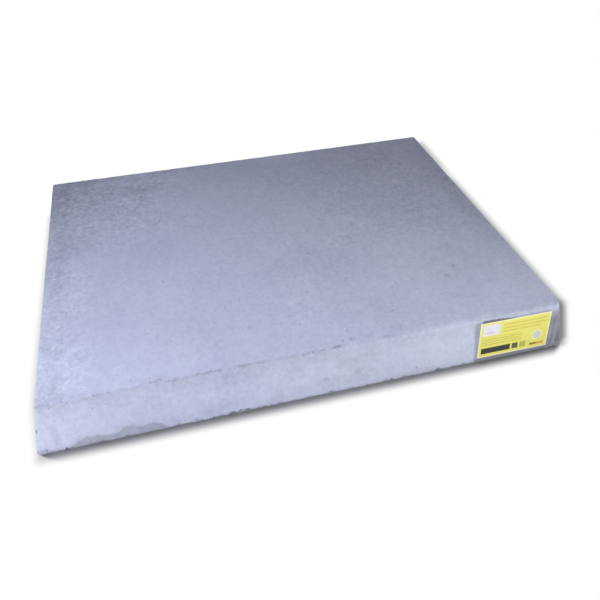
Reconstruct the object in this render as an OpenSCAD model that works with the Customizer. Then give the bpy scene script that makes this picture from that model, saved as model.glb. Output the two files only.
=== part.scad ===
// Cast concrete equipment pad: a low slab with drafted sides and eased edges,
// and a printed label stuck to its front face.
// The origin is the middle of the underside. +Z is up and the labelled face looks along -Y.

/* [Slab] */
// Width of the underside, left to right
base_width = 1016; // [600:1:1400]
// Depth of the underside, front to back
base_depth = 762; // [500:1:1200]
// Height of the slab
slab_height = 101.6; // [95:0.1:160]
// Lean of all four sides from upright, in degrees, which lets the casting leave its mould
side_draft = 11.5; // [2:0.1:14]

/* [Edges] */
// Radius of the four upright corners
corner_radius = 6; // [5:0.5:10]
// Radius of the edge round the top face
arris_radius = 4; // [1:0.5:5]

/* [Label] */
// Width of the printed label
label_width = 152; // [80:1:200]
// Height of the label, measured up the slope
label_height = 80; // [40:0.5:80]
// Thickness of the label
label_thickness = 0.3; // [0.2:0.05:1]
// Distance from the slab's right-hand base corner to the label's near edge
label_end_margin = 37; // [33:1:120]
// Distance up the slope from the base edge to the label's lower edge
label_foot_margin = 7.5; // [4:0.5:8]
// Turn of the label on the face, in degrees, anticlockwise as it is read
label_turn = -0.6; // [-1:0.1:1]

/* [Hidden] */
// Facets round a full turn of each rounded corner
corner_facets = 32;
// Steps in the quarter round of the top edge
arris_steps = 6;
// Thickness of the tapered disc that starts each corner at the underside
foot_thickness = 1;

// How far a vertical post of the given radius stands in from the base edge, at height z,
// for its side to touch the sloping face
function post_inset(z, radius) = z * tan(side_draft) + radius;

// Height at which the round of the top edge starts
arris_start = slab_height - arris_radius;
// The round touches the sloping face at this much beyond its own core
arris_reach = arris_radius / cos(side_draft);
// Middle of a corner post at the underside and at the top, in from the base edge
foot_inset = post_inset(0, corner_radius);
crown_inset = post_inset(arris_start, corner_radius - arris_radius + arris_reach);

// Quarter round of the top edge, from the sloping face's own normal up to level
crown_profile = [
    [0, 0],
    for (step = [0:arris_steps])
        let (turn = side_draft + (90 - side_draft) * step / arris_steps)
        [corner_radius - arris_radius + arris_radius * cos(turn), arris_radius * sin(turn)],
    [0, arris_radius]
];

// Repeats its children at the four corners, in from the base edges by the given distance
module at_corners(inset) {
    for (side = [-1, 1], end = [-1, 1])
        translate([side * (base_width / 2 - inset), end * (base_depth / 2 - inset), 0])
            children();
}

// Start of an upright corner: only its rim, at the underside, touches the finished sides
module corner_foot() {
    cylinder(h = foot_thickness, r1 = corner_radius, r2 = corner_radius / 2, $fn = corner_facets);
}

// Rounded end of an upright corner under the top face
module corner_crown() {
    translate([0, 0, arris_start])
        rotate_extrude($fn = corner_facets)
            polygon(crown_profile);
}

// Places its children on the front face: x runs to the right, y runs up the slope from the
// base edge, and z points straight out of the face
module on_front_face() {
    translate([0, -base_depth / 2, 0])
        rotate([90 - side_draft, 0, 0])
            children();
}

// The whole casting
module pad() {
    color([0.68, 0.70, 0.77])
        hull() {
            at_corners(foot_inset) corner_foot();
            at_corners(crown_inset) corner_crown();
        }
}

// The printed label, flat against the front face near its right-hand end
module label() {
    label_middle_x = base_width / 2 - label_end_margin - label_width / 2;
    label_middle_up = label_foot_margin + label_height / 2;
    color([0.93, 0.90, 0.42])
        on_front_face()
            translate([label_middle_x, label_middle_up, label_thickness / 2])
                rotate([0, 0, label_turn])
                    cube([label_width, label_height, label_thickness], center = true);
}

pad();
label();
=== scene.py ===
"""A cast concrete equipment pad and its printed label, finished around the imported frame."""

import logging
import math
from collections.abc import Iterable
from dataclasses import dataclass, field
from enum import Enum
from functools import reduce

import bmesh
import bpy
import numpy as np
from mathutils import Matrix, Vector


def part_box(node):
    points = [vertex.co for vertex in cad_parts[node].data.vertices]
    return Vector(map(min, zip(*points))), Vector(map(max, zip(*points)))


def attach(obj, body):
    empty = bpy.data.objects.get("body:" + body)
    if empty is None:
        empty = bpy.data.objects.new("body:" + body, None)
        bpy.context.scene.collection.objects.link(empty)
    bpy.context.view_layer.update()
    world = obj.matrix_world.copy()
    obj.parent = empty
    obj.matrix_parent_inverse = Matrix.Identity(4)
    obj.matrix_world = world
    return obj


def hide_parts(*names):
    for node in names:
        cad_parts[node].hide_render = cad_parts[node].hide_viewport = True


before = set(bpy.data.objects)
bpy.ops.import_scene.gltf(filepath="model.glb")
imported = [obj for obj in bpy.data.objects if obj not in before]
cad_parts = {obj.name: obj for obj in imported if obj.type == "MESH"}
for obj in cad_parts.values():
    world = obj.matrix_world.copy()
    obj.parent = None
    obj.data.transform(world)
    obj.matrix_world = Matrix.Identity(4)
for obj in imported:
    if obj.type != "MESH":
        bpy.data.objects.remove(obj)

LOG = logging.getLogger("equipment_pad")
BODY = "root"
MM = 0.001
POINT_GAP = 1e-6
NOISE_SHIFT = (3.17, -1.93, 2.41)
SHAKE_SHIFT = (1.0, -1.0, 0.5)
CELL_SHIFT = (2.71, 1.39, -0.87)

Pair = tuple[float, float]
Point = tuple[float, float, float]
Colour = tuple[float, float, float]
Socket = bpy.types.NodeSocket
# Where a change starts and where it is complete, then its results there unless they are 0 and 1.
Range = tuple[float, ...]


# ---------------------------------------------------------------------------------------------
# Node trees
# ---------------------------------------------------------------------------------------------


class Value:
    """A number, vector or colour in a node tree, whose sums and products add nodes to the tree."""

    def __init__(self, graph: "Graph", socket: Socket) -> None:
        """Takes hold of a node's output.

        Args:
            graph: the tree it is in.
            socket: the output.
        """
        self.graph = graph
        self.socket = socket
        self.has_parts = socket.type in ("VECTOR", "RGBA")

    def joined(self, operation: str, *others: "Feed") -> "Value":
        """Adds a Math node, or a Vector Math node where this value has parts."""
        kind = "ShaderNodeVectorMath" if self.has_parts else "ShaderNodeMath"
        return self.graph.apply(kind, self, *others, operation=operation)

    def __add__(self, other: "Feed") -> "Value":
        """The sum."""
        return self.joined("ADD", other)

    __radd__ = __add__

    def __sub__(self, other: "Feed") -> "Value":
        """The difference."""
        return self.joined("SUBTRACT", other)

    def __rsub__(self, other: float) -> "Value":
        """A number less this value."""
        return self.graph.math("SUBTRACT", other, self)

    def __mul__(self, other: "Feed") -> "Value":
        """The product, part by part, or the scaled vector where the other is a number."""
        by_parts = isinstance(other, tuple) or getattr(other, "has_parts", False)
        return self.joined("SCALE" if self.has_parts and not by_parts else "MULTIPLY", other)

    __rmul__ = __mul__

    def __truediv__(self, other: "Feed") -> "Value":
        """The quotient."""
        return self.joined("DIVIDE", other) if isinstance(other, Value) else self * (1 / other)

    def __neg__(self) -> "Value":
        """The value turned about zero."""
        return self * -1.0

    def __abs__(self) -> "Value":
        """The value without its sign."""
        return self.joined("ABSOLUTE")

    def length(self) -> "Value":
        """The length of a vector."""
        return self.joined("LENGTH")

    def step(self, start: "Feed", end: "Feed", low: float = 0.0, high: float = 1.0) -> "Value":
        """Eases from low to high as this value goes from start to end, in either direction."""
        settings = {"interpolation_type": "SMOOTHSTEP", "clamp": True}
        return self.graph.apply("ShaderNodeMapRange", self, start, end, low, high, **settings)


Feed = Value | Socket | float | int | str | tuple[float, ...] | bpy.types.ID
Inputs = dict[str | int, Feed]


def largest(first: Value, *others: Feed) -> Value:
    """The largest of several values."""
    return reduce(lambda most, other: most.graph.math("MAXIMUM", most, other), others, first)


def smallest(first: Value, *others: Feed) -> Value:
    """The smallest of several values."""
    return reduce(lambda least, other: least.graph.math("MINIMUM", least, other), others, first)


def shown(sockets: Iterable[Socket]) -> list[Socket]:
    """The inputs or outputs that a node's settings leave in use."""
    return [socket for socket in sockets if socket.enabled]


class Graph:
    """A node tree being built, with short calls that add a node and join it up."""

    def __init__(self, tree: bpy.types.NodeTree) -> None:
        """Takes a shader or geometry node tree and empties it."""
        self.tree = tree
        tree.nodes.clear()

    def feed(self, socket: Socket, value: Feed) -> None:
        """Gives an input its value, by a link or as a constant.

        Args:
            socket: the input.
            value: another node's output, or a constant.
        """
        source = value.socket if isinstance(value, Value) else value
        if isinstance(source, bpy.types.NodeSocket):
            self.tree.links.new(source, socket)
        else:
            socket.default_value = source

    def node(self, kind: str, inputs: Inputs | None = None, **settings: object) -> bpy.types.Node:
        """Adds a node.

        Args:
            kind: the node's type name.
            inputs: what goes into it, by its inputs' names or places.
            **settings: properties to set on it first.

        Returns:
            The new node.
        """
        made = self.tree.nodes.new(kind)
        for name, value in settings.items():
            setattr(made, name, value)
        for name, value in (inputs or {}).items():
            self.feed(made.inputs[name], value)
        return made

    def read(self, kind: str, output: str | int = 0, inputs: Inputs | None = None) -> Value:
        """Adds a node and takes one of its outputs."""
        return Value(self, self.node(kind, inputs).outputs[output])

    def apply(self, kind: str, *values: Feed, **settings: object) -> Value:
        """Adds a node and feeds the inputs that its settings leave in use.

        Args:
            kind: the node's type name.
            *values: what goes into it, in order.
            **settings: properties to set on it first.

        Returns:
            The first output in use.
        """
        made = self.node(kind, **settings)
        for socket, value in zip(shown(made.inputs), values):
            self.feed(socket, value)
        return Value(self, shown(made.outputs)[0])

    def math(self, operation: str, *values: Feed, clamp: bool = False) -> Value:
        """Adds a Math node, whose result may be held between 0 and 1."""
        return self.apply("ShaderNodeMath", *values, operation=operation, use_clamp=clamp)

    def combine(self, x: Feed, y: Feed, z: Feed) -> Value:
        """Joins three numbers into a vector."""
        return self.apply("ShaderNodeCombineXYZ", x, y, z)

    def split(self, vector: Value) -> tuple[Value, ...]:
        """Splits a vector into its x, y and z."""
        made = self.node("ShaderNodeSeparateXYZ", {0: vector})
        return tuple(Value(self, part) for part in made.outputs)

    def noise(
        self, place: Value, scale: float, seed: float = 0.0, detail: float = 3.0, rough: float = 0.6
    ) -> Value:
        """Adds smooth noise, centred on 0.5.

        Args:
            place: the point it is read at.
            scale: waves in a metre.
            seed: shifts the pattern, so that no two are alike.
            detail: how many finer layers it has.
            rough: how strong each finer layer is.

        Returns:
            The noise.
        """
        moved = place + tuple(seed * part for part in NOISE_SHIFT)
        inputs = {"Vector": moved, "Scale": scale, "Detail": detail, "Roughness": rough}
        return self.read("ShaderNodeTexNoise", 0, inputs)

    def shake(self, place: Value, scale: float, seed: float = 0.0) -> Value:
        """A small random vector about zero, from a pattern shifted by its seed."""
        inputs = {"Vector": place + tuple(seed * part for part in SHAKE_SHIFT), "Scale": scale}
        return self.read("ShaderNodeTexNoise", "Color", inputs) - (0.5, 0.5, 0.5)

    def cells(self, place: Value, scale: float, seed: float) -> tuple[Value, Value]:
        """Adds scattered cells, for specks.

        Args:
            place: the point they are read at.
            scale: cells in a metre.
            seed: shifts the pattern.

        Returns:
            The distance from the nearest cell's middle, in cells, and that cell's own random number.
        """
        moved = place + tuple(seed * part for part in CELL_SHIFT)
        made = self.node("ShaderNodeTexVoronoi", {"Vector": moved, "Scale": scale, "Randomness": 1.0})
        lone = self.read("ShaderNodeSeparateColor", 0, {0: made.outputs["Color"]})
        return Value(self, made.outputs["Distance"]), lone

    def mix(self, amount: Feed, first: Feed, second: Feed) -> Value:
        """Mixes two colours, with so much of the second."""
        colours = [(*given, 1.0) if isinstance(given, tuple) else given for given in (first, second)]
        return self.apply("ShaderNodeMix", amount, *colours, data_type="RGBA")

    def bump(self, height: Value, distance: float, strength: float, under: Value | None = None) -> Value:
        """Turns a height into a bumped normal.

        Args:
            height: the height, from 0 to 1.
            distance: the height of 1, in metres.
            strength: how strongly it shows.
            under: a coarser bumped normal below this one.

        Returns:
            The normal.
        """
        inputs = {"Height": height, "Distance": distance, "Strength": strength}
        if under is not None:
            inputs["Normal"] = under
        return self.read("ShaderNodeBump", 0, inputs)

    def surface(self, colour: Value, rough: Value, normal: Value, gloss: float) -> None:
        """Ends a material's tree with its shader.

        Args:
            colour: its colour.
            rough: how rough it is.
            normal: its bumped normal.
            gloss: how strongly it reflects.
        """
        inputs = {"Base Color": colour, "Roughness": rough, "Normal": normal, "Specular IOR Level": gloss}
        shader = self.node("ShaderNodeBsdfPrincipled", inputs)
        self.node("ShaderNodeOutputMaterial", {"Surface": shader.outputs[0]})


def new_material(name: str) -> tuple[bpy.types.Material, Graph]:
    """Makes a material.

    Args:
        name: its name.

    Returns:
        The material and its empty tree.
    """
    made = bpy.data.materials.new(name)
    made.use_nodes = True
    return made, Graph(made.node_tree)


class ModifierTree:
    """A geometry node tree with named inputs, run once on an object and then taken off it."""

    def __init__(self, name: str, inputs: dict[str, float | int]) -> None:
        """Makes the tree and its inputs.

        Args:
            name: the tree's name.
            inputs: each input's name and value, which is a whole number or not as the input is.
        """
        self.tree = bpy.data.node_groups.new(name, "GeometryNodeTree")
        self.graph = Graph(self.tree)
        self.values = inputs
        face = self.tree.interface
        face.new_socket(name="Geometry", in_out="INPUT", socket_type="NodeSocketGeometry")
        face.new_socket(name="Geometry", in_out="OUTPUT", socket_type="NodeSocketGeometry")
        for label, value in inputs.items():
            kind = "NodeSocketInt" if isinstance(value, int) else "NodeSocketFloat"
            face.new_socket(name=label, in_out="INPUT", socket_type=kind)
        self.entry = self.graph.node("NodeGroupInput")

    def given(self, name: str) -> Value:
        """One of the tree's named inputs."""
        return Value(self.graph, self.entry.outputs[name])

    def close(self, shape: Socket, material: bpy.types.Material) -> None:
        """Ends the tree: instances are made real and the material is set.

        Args:
            shape: the finished geometry.
            material: the material it wears.
        """
        real = self.graph.read("GeometryNodeRealizeInstances", 0, {"Geometry": shape})
        wear = self.graph.read("GeometryNodeSetMaterial", 0, {"Geometry": real, "Material": material})
        self.graph.node("NodeGroupOutput", {"Geometry": wear})

    def run(self, piece: bpy.types.Object) -> None:
        """Runs the tree on an object and keeps the result as its plain mesh.

        Args:
            piece: the object, whose mesh is replaced.
        """
        modifier = piece.modifiers.new(self.tree.name, "NODES")
        modifier.node_group = self.tree
        for item in self.tree.interface.items_tree:
            if item.item_type == "SOCKET" and item.in_out == "INPUT" and item.name in self.values:
                modifier[item.identifier] = self.values[item.name]
        bake_modifiers(piece)


def bake_modifiers(piece: bpy.types.Object) -> None:
    """Replaces an object's mesh with what its modifiers make of it, and takes them off.

    Args:
        piece: the object.
    """
    bpy.context.view_layer.update()
    graph = bpy.context.evaluated_depsgraph_get()
    made = bpy.data.meshes.new_from_object(piece.evaluated_get(graph), depsgraph=graph)
    old = piece.data
    piece.modifiers.clear()
    piece.data = made
    made.name = old.name + ".made"
    bpy.data.meshes.remove(old)


def drop_strays(piece: bpy.types.Object) -> None:
    """Merges points that all but coincide, and keeps only the largest closed shell of a mesh.

    Args:
        piece: the object.
    """
    made = bmesh.new()
    made.from_mesh(piece.data)
    bmesh.ops.triangulate(made, faces=made.faces[:])
    bmesh.ops.remove_doubles(made, verts=made.verts[:], dist=POINT_GAP)
    bmesh.ops.dissolve_degenerate(made, dist=POINT_GAP, edges=made.edges[:])
    left = set(made.faces)
    shells = []
    while left:
        shell = [left.pop()]
        for face in shell:
            near = {other for edge in face.edges for other in edge.link_faces} & left
            left -= near
            shell.extend(near)
        shells.append(shell)
    shells.sort(key=len)
    for shell in shells[:-1]:
        bmesh.ops.delete(made, geom=shell, context="FACES")
    made.to_mesh(piece.data)
    made.free()


def add_object(name: str, data: bpy.types.ID) -> bpy.types.Object:
    """Puts a mesh, a lamp or a camera into the scene as an object at the origin.

    Args:
        name: the object's name.
        data: its mesh, lamp or camera.

    Returns:
        The object.
    """
    made = bpy.data.objects.new(name, data)
    bpy.context.scene.collection.objects.link(made)
    return made


# ---------------------------------------------------------------------------------------------
# Shape of the casting
# ---------------------------------------------------------------------------------------------


@dataclass(frozen=True)
class Level:
    """The slab's outline at one height: a rectangle with rounded corners."""

    height: float
    half_width: float
    half_depth: float
    corner: float


@dataclass(frozen=True)
class SlabShape:
    """The drafted slab, from the size of its frame node and the same draft and radii."""

    half_width: float
    half_depth: float
    height: float
    draft: float = math.radians(11.5)
    corner_radius: float = 6 * MM
    arris_radius: float = 4 * MM
    arris_steps: int = 5

    @property
    def arris_start(self) -> float:
        """Height at which the round of the top edge begins."""
        return self.height - self.arris_radius

    @property
    def top_inset(self) -> float:
        """How far the flat of the top stands in from the base edge."""
        return self.arris_start * math.tan(self.draft) + self.arris_radius / math.cos(self.draft)

    def side_level(self, height: float) -> Level:
        """The outline of the straight part of the sides, at a height above the underside."""
        inset = height * math.tan(self.draft)
        return Level(height, self.half_width - inset, self.half_depth - inset, self.corner_radius)

    def arris_level(self, share: float) -> Level:
        """The outline part of the way round the top edge.

        Args:
            share: 0 at the sloping side and 1 at the level top.

        Returns:
            The outline there.
        """
        turn = self.draft + (math.pi / 2 - self.draft) * share
        reach = self.arris_radius * math.cos(turn)
        return Level(
            self.arris_start + self.arris_radius * math.sin(turn),
            self.half_width - self.top_inset + reach,
            self.half_depth - self.top_inset + reach,
            self.corner_radius - self.arris_radius + reach,
        )

    def on_front(self, x: float, up: float, out: float = 0.0) -> Vector:
        """A point on the front face: its x, how far up the slope it is and how far it stands out."""
        lean, rise = math.sin(self.draft), math.cos(self.draft)
        return Vector((x, -self.half_depth + up * lean - out * rise, up * rise + out * lean))

    def front_normal(self) -> Vector:
        """The direction straight out of the front face."""
        return Vector((0.0, -math.cos(self.draft), math.sin(self.draft)))


@dataclass
class Ring:
    """One loop of vertices round the slab: four straight runs and the four arcs between them."""

    runs: list[list[int]]
    arcs: list[list[int]]


@dataclass
class ShellBuilder:
    """Builds the slab's closed skin, with a finer mesh along its edges than on its faces."""

    shape: SlabShape
    cells_wide: int = 192
    cells_deep: int = 144
    arc_cells: int = 4
    fine: int = 2
    base_share: int = 4
    foot_rows: tuple[float, ...] = (0.0, 1.3, 2.6, 4.2, 6.0, 8.0)
    crown_rows: tuple[float, ...] = (8.0, 5.5, 3.5, 1.7, 0.0)
    side_rows: int = 17
    points: list[Point] = field(default_factory=list)
    faces: list[tuple[int, ...]] = field(default_factory=list)

    def line(self, start: Pair, end: Pair, height: float, cells: int) -> list[int]:
        """Adds the inner vertices of a straight line, without its two ends.

        Args:
            start: its first end, in plan.
            end: its last end, in plan.
            height: its height.
            cells: how many lengths it is divided into.

        Returns:
            The new vertices.
        """
        first = len(self.points)
        for step in range(1, cells):
            share = step / cells
            x = start[0] + (end[0] - start[0]) * share
            y = start[1] + (end[1] - start[1]) * share
            self.points.append((x, y, height))
        return list(range(first, len(self.points)))

    def ring(self, level: Level, share: int) -> Ring:
        """Adds one loop of vertices.

        Args:
            level: the outline it follows.
            share: how many lengths each cell of the top is divided into.

        Returns:
            The loop.
        """
        x, y = level.half_width - level.corner, level.half_depth - level.corner
        middles = ((x, -y), (x, y), (-x, y), (-x, -y))
        arcs = []
        for turn, (middle_x, middle_y) in enumerate(middles):
            first = len(self.points)
            for step in range(self.arc_cells + 1):
                angle = (turn - 1 + step / self.arc_cells) * math.pi / 2
                across = middle_x + level.corner * math.cos(angle)
                deep = middle_y + level.corner * math.sin(angle)
                self.points.append((across, deep, level.height))
            arcs.append(list(range(first, len(self.points))))
        runs = []
        for turn in range(4):
            begin, finish = arcs[turn - 1][-1], arcs[turn][0]
            cells = (self.cells_deep if turn % 2 else self.cells_wide) * share
            between = self.line(self.points[begin][:2], self.points[finish][:2], level.height, cells)
            runs.append([begin, *between, finish])
        return Ring(runs, arcs)

    def strip(self, outer: list[int], inner: list[int], flip: bool = False) -> None:
        """Fills between two runs, whose numbers of lengths may differ by a whole factor.

        Args:
            outer: the lower or outer run.
            inner: the upper or inner run.
            flip: whether the faces look the other way.
        """
        cells = min(len(outer), len(inner)) - 1
        a, b = (len(outer) - 1) // cells, (len(inner) - 1) // cells
        for cell in range(cells):
            face = outer[cell * a:(cell + 1) * a + 1] + inner[cell * b:(cell + 1) * b + 1][::-1]
            self.faces.append(tuple(face[::-1] if flip else face))

    def band(self, lower: Ring, upper: Ring) -> None:
        """Fills between a lower and an upper loop."""
        for outer, inner in zip(lower.runs + lower.arcs, upper.runs + upper.arcs):
            self.strip(outer, inner)

    def cap(self, ring: Ring, level: Level, wide: int, deep: int, flip: bool) -> None:
        """Closes a loop with a level lattice.

        Args:
            ring: the loop.
            level: its outline.
            wide: cells from left to right.
            deep: cells from front to back.
            flip: whether it looks down.
        """
        x, y = level.half_width - level.corner, level.half_depth - level.corner
        first = len(self.points)
        for column in range(wide + 1):
            for row in range(deep + 1):
                place = (-x + 2 * x * column / wide, -y + 2 * y * row / deep, level.height)
                self.points.append(place)
        at = [[first + column * (deep + 1) + row for row in range(deep + 1)] for column in range(wide + 1)]
        for left, right in zip(at, at[1:]):
            self.strip(left, right, not flip)
        edges = [
            [column[0] for column in at],
            at[-1],
            [column[-1] for column in at][::-1],
            at[0][::-1],
        ]
        for turn, edge in enumerate(edges):
            self.strip(ring.runs[turn], edge, flip)
            corner = (*ring.arcs[turn], edge[-1])
            self.faces.append(corner[::-1] if flip else corner)

    def build(self) -> bpy.types.Mesh:
        """Builds the whole skin.

        Returns:
            The closed mesh, with each vertex's distances from the edges as attributes.
        """
        shape = self.shape
        foot = [row * MM for row in self.foot_rows]
        crown = [shape.arris_start - row * MM for row in self.crown_rows]
        span = crown[0] - foot[-1]
        middle = [foot[-1] + span * row / self.side_rows for row in range(1, self.side_rows)]
        levels = [(shape.side_level(height), self.fine) for height in foot]
        levels += [(shape.side_level(height), 1) for height in middle]
        levels += [(shape.side_level(height), self.fine) for height in crown]
        steps = range(1, shape.arris_steps + 1)
        levels += [(shape.arris_level(step / shape.arris_steps), self.fine) for step in steps]
        rings = [self.ring(level, share) for level, share in levels]
        for lower, upper in zip(rings, rings[1:]):
            self.band(lower, upper)
        self.cap(rings[-1], levels[-1][0], self.cells_wide, self.cells_deep, False)
        base_wide, base_deep = self.cells_wide // self.base_share, self.cells_deep // self.base_share
        self.cap(rings[0], levels[0][0], base_wide, base_deep, True)
        mesh = bpy.data.meshes.new("casting")
        mesh.from_pydata(self.points, [], self.faces)
        mesh.validate()
        self.store_distances(mesh)
        return mesh

    def store_distances(self, mesh: bpy.types.Mesh) -> None:
        """Stores how far each vertex is from the top edge, the base edge and the upright corners.

        Args:
            mesh: the mesh, which gains the attributes from_arris, from_front, from_foot and
                from_corner.
        """
        shape = self.shape
        place = np.array([vertex.co for vertex in mesh.vertices])
        x, y, z = np.abs(place[:, 0]), np.abs(place[:, 1]), place[:, 2]
        inset = z * math.tan(shape.draft)
        in_x = (shape.half_width - inset - x) * math.cos(shape.draft)
        in_y = (shape.half_depth - inset - y) * math.cos(shape.draft)
        in_front = (shape.half_depth - inset + place[:, 1]) * math.cos(shape.draft)
        inside = np.minimum(in_x, in_y)
        down = np.maximum(shape.height - z, 0.0)
        stored = {
            "from_arris": np.hypot(inside, down),
            "from_front": np.hypot(in_front, down),
            "from_foot": np.hypot(inside, z),
            "from_corner": np.hypot(in_x, in_y),
        }
        for name, values in stored.items():
            layer = mesh.attributes.new(name, "FLOAT", "POINT")
            layer.data.foreach_set("value", values.astype(np.float32))


# ---------------------------------------------------------------------------------------------
# Marks left on the concrete
# ---------------------------------------------------------------------------------------------


class Side(Enum):
    """The faces that marks are placed on."""

    FRONT = "front"
    TOP = "top"


@dataclass(frozen=True)
class Void:
    """A hole or chip: its place on a face in millimetres, and its size."""

    across: float
    up: float
    radius: float
    stretch: float = 1.0
    depth: float = 0.35


# On the front face `up` runs up the slope from the base edge; on the top it runs to the back.
VOIDS = {
    Side.FRONT: (
        Void(-463, 66, 1.17, 0.6),
        Void(-449, 65, 1.48, 0.5),
        Void(-430, 62, 1.25, 0.6),
        Void(-405, 62, 1.17, 0.8),
        Void(-399, 76, 1.56, 0.6),
        Void(-464, 94, 1.17, 0.8),
        Void(-430, 83, 0.86, 0.8),
        Void(-439, 37, 1.33, 0.5),
        Void(-452, 22, 0.94, 0.8),
        Void(-471, 16, 1.09, 0.8),
        Void(-489, 7, 1.72, 0.5),
        Void(-459, 0.6, 1.87, 1.2, 1.0),
        Void(-232, 5, 1.17, 0.8),
        Void(-152, 4, 1.09, 1.2),
        Void(-140, 3, 1.17, 1.2),
        Void(238, 1, 1.56, 1.2),
        Void(191, 14, 1.01, 0.7),
    ),
    Side.TOP: (
        Void(-251, -96, 1.87, 0.9),
        Void(310, -226, 2.03, 1.6),
        Void(336, -200, 1.87, 1.1),
        Void(315, -242, 1.48, 1.2),
        Void(46, -166, 1.48),
        Void(15, -202, 1.33),
        Void(-118, -28, 1.33, 1.3),
        Void(165, -296, 1.56, 0.8),
        Void(28, -160, 1.17),
        Void(113, -282, 1.17),
        Void(402, -248, 1.09),
        Void(-52, -214, 1.01),
    ),
}


@dataclass(frozen=True)
class Stain:
    """A soft-edged stain on a face: its middle, its half sizes and how dark it is."""

    across: float
    up: float
    half_width: float
    half_height: float
    depth: float
    ragged: float = 0.5


STAINS = {
    Side.FRONT: (
        Stain(71, 39, 8, 8, 0.24),
        Stain(58, 46, 7, 9, 0.14),
        Stain(11, 35, 9, 5, 0.20),
        Stain(100, 34, 8, 5, 0.16),
        Stain(84, 42, 10, 6, 0.10),
        Stain(-470, 38, 9, 26, 0.12, 0.9),
        Stain(-498, 51, 4.5, 5.5, 0.95, 0.3),
        Stain(-496, 70, 3, 10, 0.30),
        Stain(-500, 5, 12, 6, 0.26, 0.9),
        Stain(-458, 2.0, 3.0, 2.8, 1.0, 0.3),
        Stain(-382, 8, 28, 6, 0.40, 0.9),
        Stain(-490, 8, 2.4, 3.2, 0.55, 0.3),
        Stain(-503, 7, 2.4, 3.0, 0.45, 0.3),
        Stain(-447, 2, 8, 2.6, 0.45, 0.6),
        Stain(-300, 52, 26, 20, 0.05),
        Stain(-230, 88, 60, 13, 0.05),
        Stain(-150, 80, 44, 15, 0.06),
        Stain(-190, 22, 40, 12, 0.05),
        Stain(10, 84, 44, 12, 0.07),
        Stain(70, 62, 60, 20, 0.06),
        Stain(52, 60, 26, 20, 0.12),
        Stain(-51, 62, 26, 18, 0.07),
        Stain(254, 78, 30, 9, 0.08),
        Stain(330, 96, 24, 8, 0.10),
        Stain(48, 1, 44, 6, 0.18, 0.9),
        Stain(140, 1, 40, 4, 0.14, 0.9),
        Stain(-152, 1, 26, 5, 0.16, 0.9),
        Stain(-350, 1, 24, 6, 0.16, 0.9),
        Stain(-233, 5, 4, 3.0, 0.45, 0.6),
        Stain(-168, 2, 8, 4.0, 0.80, 0.9),
        Stain(-153, 5, 3.2, 3.0, 0.85, 0.4),
        Stain(-140, 3.5, 4.5, 3.2, 0.85, 0.4),
        Stain(20, 2.5, 9, 4.0, 0.60, 0.9),
        Stain(127, 2, 6, 3.2, 0.55, 0.9),
        Stain(140, 3, 3.5, 2.8, 0.80, 0.4),
        Stain(165, 2, 6, 3.0, 0.55, 0.8),
        Stain(191, 18, 2.8, 2.8, 0.50, 0.3),
        Stain(238, 2, 8, 4.0, 0.75, 0.9),
        Stain(18, 95, 28, 8, 0.12, 0.9),
        Stain(410, 97, 60, 9, 0.09, 0.7),
        Stain(200, 0, 150, 15, 0.10, 0.5),
        Stain(48, 26, 50, 16, 0.09, 0.6),
    ),
    Side.TOP: (
        Stain(-286, -353, 22, 9, 0.08, 0.9),
        Stain(482, -352, 8, 6, 0.14, 0.9),
        Stain(-453, -338, 12, 24, 0.11, 1.2),
        Stain(-428, -352, 14, 7, 0.08, 1.2),
        Stain(48, -350, 3, 5, 0.24),
        Stain(63, -349, 3, 6, 0.30),
        Stain(310, -229, 9, 7, 0.24, 0.6),
        Stain(336, -202, 5, 7, 0.26, 0.5),
        Stain(428, -66, 6, 7, 0.18, 0.6),
        Stain(20, -203, 5, 6, 0.20, 0.6),
        Stain(-252, -96, 4, 5, 0.26, 0.5),
        Stain(165, -297, 4, 5, 0.20, 0.5),
        Stain(-282, 268, 34, 20, 0.10, 0.9),
        Stain(-350, 300, 26, 12, 0.10, 0.9),
    ),
}


@dataclass(frozen=True)
class EdgeLine:
    """A stretch of the dark line that dirt leaves along the front top edge.

    `down` is how far below the edge it runs, in millimetres, or behind the edge if below zero.
    """

    start: float
    end: float
    down: float
    depth: float


@dataclass(frozen=True)
class Rise:
    """A stretch along which the damp patch gets higher, or lower if below zero, in millimetres."""

    start: float
    end: float
    height: float


DAMP_OUTLINE = (
    Rise(-466, -416, 20),
    Rise(-406, -386, -6),
    Rise(-374, -350, 11),
    Rise(-344, -332, -6),
    Rise(-308, -264, -24),
)
EDGE_LINES = (
    EdgeLine(-468, -404, -5.0, 0.18),
    EdgeLine(-470, -394, 6.5, 0.24),
    EdgeLine(-392, -364, 1.0, 0.26),
    EdgeLine(-358, -306, 0.5, 0.13),
    EdgeLine(-302, -276, -3.5, 0.46),
    EdgeLine(-272, -250, 0.5, 0.52),
    EdgeLine(-248, -228, 3.5, 0.24),
    EdgeLine(-222, -176, 1.0, 0.40),
    EdgeLine(-154, -100, 1.5, 0.38),
    EdgeLine(-98, -38, 3.0, 0.12),
    EdgeLine(-34, 0, 2.5, 0.42),
    EdgeLine(0, 42, 1.0, 0.50),
    EdgeLine(68, 90, 3.0, 0.16),
    EdgeLine(122, 142, 0.5, 0.26),
)


@dataclass(frozen=True)
class Wave:
    """One layer of smooth noise in the concrete's tone."""

    scale: float
    size: float
    seed: float
    detail: float = 3.0
    rough: float = 0.6
    patchy: bool = True


WAVES = (
    Wave(5.5, 0.092, 1.0, detail=2.0, rough=0.5, patchy=False),
    Wave(16.0, 0.070, 2.0),
    Wave(46.0, 0.125, 26.0),
    Wave(105.0, 0.175, 3.0),
    Wave(260.0, 0.115, 12.0, detail=2.0),
    Wave(650.0, 0.050, 4.0, detail=2.0, rough=0.7, patchy=False),
)


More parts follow.
